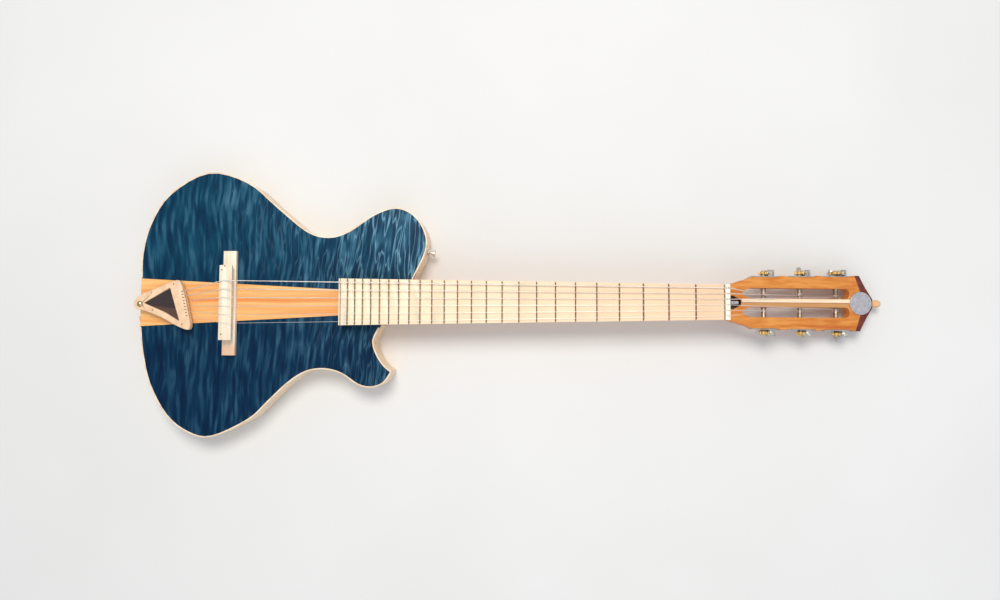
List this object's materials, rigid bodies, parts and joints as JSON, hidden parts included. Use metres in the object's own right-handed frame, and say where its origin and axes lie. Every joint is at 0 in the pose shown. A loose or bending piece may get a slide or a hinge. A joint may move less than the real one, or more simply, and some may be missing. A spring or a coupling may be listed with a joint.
{
  "type": "guitar",
  "caption": "Through-neck guitar with a stained figured top, floating bridge, triangular tailpiece and a slotted headstock with worm-geared tuners.",
  "frame": {"origin": "on the flat back of the body, under the line where the open strings' length begins", "axes": "+X from the tail to the headstock, +Y to the bass side, +Z out of the top"},
  "size_m": [0.9941, 0.3546, 0.0665],
  "materials": {
    "rim_wood": "satin lacquer over pale straight-grained wood",
    "top_veneer": "blue stain over figured maple, clear lacquer",
    "neck_wood": "orange yew with a clear satin finish",
    "headstock_wood": "orange yew with a clear satin finish",
    "board_maple": "pale maple, thin clear finish",
    "bone": "polished bone",
    "rod_steel": "dark oiled steel",
    "spline_maple": "pale maple strip",
    "tip_heartwood": "dark red heartwood",
    "peg_wood": "pale turned wood",
    "pearl": "mother of pearl",
    "machine_metal": "polished nickel",
    "gear_metal": "dull nickelled brass",
    "plain_string": "plain steel wire",
    "wound_string": "round-wound steel",
    "bridge_maple": "pale maple, satin",
    "wheel_brass": "knurled brass",
    "tailpiece_maple": "pale maple, satin",
    "tailpiece_dark": "dark stained wood",
    "screw_metal": "polished screw",
    "button_metal": "polished nickel"
  },
  "bodies": {
    "root": {"body_wing_bass": "rim_wood", "body_wing_treble": "rim_wood", "top_bass": "top_veneer", "top_treble": "top_veneer", "neck_through": "neck_wood", "headstock": "headstock_wood", "fingerboard": "board_maple", "nut": "bone", "truss_rod": "rod_steel", "headstock_spline": "spline_maple", "headstock_tip": "tip_heartwood", "tip_peg": "peg_wood", "headstock_disc": "pearl", "tuner_plate_1": "machine_metal", "tuner_plate_2": "machine_metal", "tuner_plate_3": "machine_metal", "tuner_plate_4": "machine_metal", "tuner_plate_5": "machine_metal", "tuner_plate_6": "machine_metal", "string_1": "plain_string", "string_2": "plain_string", "string_3": "plain_string", "string_4": "wound_string", "string_5": "wound_string", "string_6": "wound_string", "bridge_base": "bridge_maple", "bridge_saddle": "bridge_maple", "tailpiece_frame": "tailpiece_maple", "tailpiece_panel": "tailpiece_dark", "tailpiece_screw": "screw_metal", "horn_strap_button": "button_metal", "tail_strap_button": "button_metal", "output_jack": "button_metal"},
    "tuner_1_knob": {"tuner_knob_1": "machine_metal"},
    "tuner_1_gear": {"tuner_gear_1": "gear_metal", "gear_screw_1": "gear_metal"},
    "tuner_2_knob": {"tuner_knob_2": "machine_metal"},
    "tuner_2_gear": {"tuner_gear_2": "gear_metal", "gear_screw_2": "gear_metal"},
    "tuner_3_knob": {"tuner_knob_3": "machine_metal"},
    "tuner_3_gear": {"tuner_gear_3": "gear_metal", "gear_screw_3": "gear_metal"},
    "tuner_4_knob": {"tuner_knob_4": "machine_metal"},
    "tuner_4_gear": {"tuner_gear_4": "gear_metal", "gear_screw_4": "gear_metal"},
    "tuner_5_knob": {"tuner_knob_5": "machine_metal"},
    "tuner_5_gear": {"tuner_gear_5": "gear_metal", "gear_screw_5": "gear_metal"},
    "tuner_6_knob": {"tuner_knob_6": "machine_metal"},
    "tuner_6_gear": {"tuner_gear_6": "gear_metal", "gear_screw_6": "gear_metal"},
    "truss_nut": {"truss_nut": "rod_steel"},
    "bridge_wheel_bass": {"bridge_post_bass": "wheel_brass"},
    "bridge_wheel_treble": {"bridge_post_treble": "wheel_brass"}
  },
  "joints": [
    {"name": "tuner_1_turn", "type": "hinge", "parent": "root", "child": "tuner_1_knob", "pos_m": [0.71095, -0.039, 0.03732], "axis": [0.1478, 0, 0.989], "continuous": true},
    {"name": "tuner_1_roll", "type": "hinge", "parent": "root", "child": "tuner_1_gear", "pos_m": [0.70244, -0.0332, 0.03859], "axis": [0, 1, 0], "continuous": true},
    {"name": "tuner_2_turn", "type": "hinge", "parent": "root", "child": "tuner_2_knob", "pos_m": [0.7598, -0.0396, 0.03002], "axis": [0.1478, 0, 0.989], "continuous": true},
    {"name": "tuner_2_roll", "type": "hinge", "parent": "root", "child": "tuner_2_gear", "pos_m": [0.7513, -0.0338, 0.03129], "axis": [0, 1, 0], "continuous": true},
    {"name": "tuner_3_turn", "type": "hinge", "parent": "root", "child": "tuner_3_knob", "pos_m": [0.80886, -0.0402, 0.02269], "axis": [0.1478, 0, 0.989], "continuous": true},
    {"name": "tuner_3_roll", "type": "hinge", "parent": "root", "child": "tuner_3_gear", "pos_m": [0.80036, -0.0344, 0.02396], "axis": [0, 1, 0], "continuous": true},
    {"name": "tuner_4_turn", "type": "hinge", "parent": "root", "child": "tuner_4_knob", "pos_m": [0.80886, 0.0402, 0.02269], "axis": [0.1478, 0, 0.989], "continuous": true},
    {"name": "tuner_4_roll", "type": "hinge", "parent": "root", "child": "tuner_4_gear", "pos_m": [0.80036, 0.0344, 0.02396], "axis": [0, 1, 0], "continuous": true},
    {"name": "tuner_5_turn", "type": "hinge", "parent": "root", "child": "tuner_5_knob", "pos_m": [0.7598, 0.0396, 0.03002], "axis": [0.1478, 0, 0.989], "continuous": true},
    {"name": "tuner_5_roll", "type": "hinge", "parent": "root", "child": "tuner_5_gear", "pos_m": [0.7513, 0.0338, 0.03129], "axis": [0, 1, 0], "continuous": true},
    {"name": "tuner_6_turn", "type": "hinge", "parent": "root", "child": "tuner_6_knob", "pos_m": [0.71095, 0.039, 0.03732], "axis": [0.1478, 0, 0.989], "continuous": true},
    {"name": "tuner_6_roll", "type": "hinge", "parent": "root", "child": "tuner_6_gear", "pos_m": [0.70244, 0.0332, 0.03859], "axis": [0, 1, 0], "continuous": true},
    {"name": "truss_nut_turn", "type": "hinge", "parent": "root", "child": "truss_nut", "pos_m": [0.65683, 0, 0.04935], "axis": [0.989, 0, -0.1478], "range_deg": [-180, 180]},
    {"name": "bridge_wheel_bass_turn", "type": "hinge", "parent": "root", "child": "bridge_wheel_bass", "pos_m": [0, 0.0368, 0.054], "axis": [0, 0, 1], "range_deg": [-180, 180]},
    {"name": "bridge_wheel_treble_turn", "type": "hinge", "parent": "root", "child": "bridge_wheel_treble", "pos_m": [0, -0.0392, 0.054], "axis": [0, 0, 1], "range_deg": [-180, 180]}
  ],
  "couplings": [
    {"joint": "tuner_1_roll", "follows": "tuner_1_turn", "ratio": 0.071429},
    {"joint": "tuner_2_roll", "follows": "tuner_2_turn", "ratio": 0.071429},
    {"joint": "tuner_3_roll", "follows": "tuner_3_turn", "ratio": 0.071429},
    {"joint": "tuner_4_roll", "follows": "tuner_4_turn", "ratio": 0.071429},
    {"joint": "tuner_5_roll", "follows": "tuner_5_turn", "ratio": 0.071429},
    {"joint": "tuner_6_roll", "follows": "tuner_6_turn", "ratio": 0.071429}
  ]
}
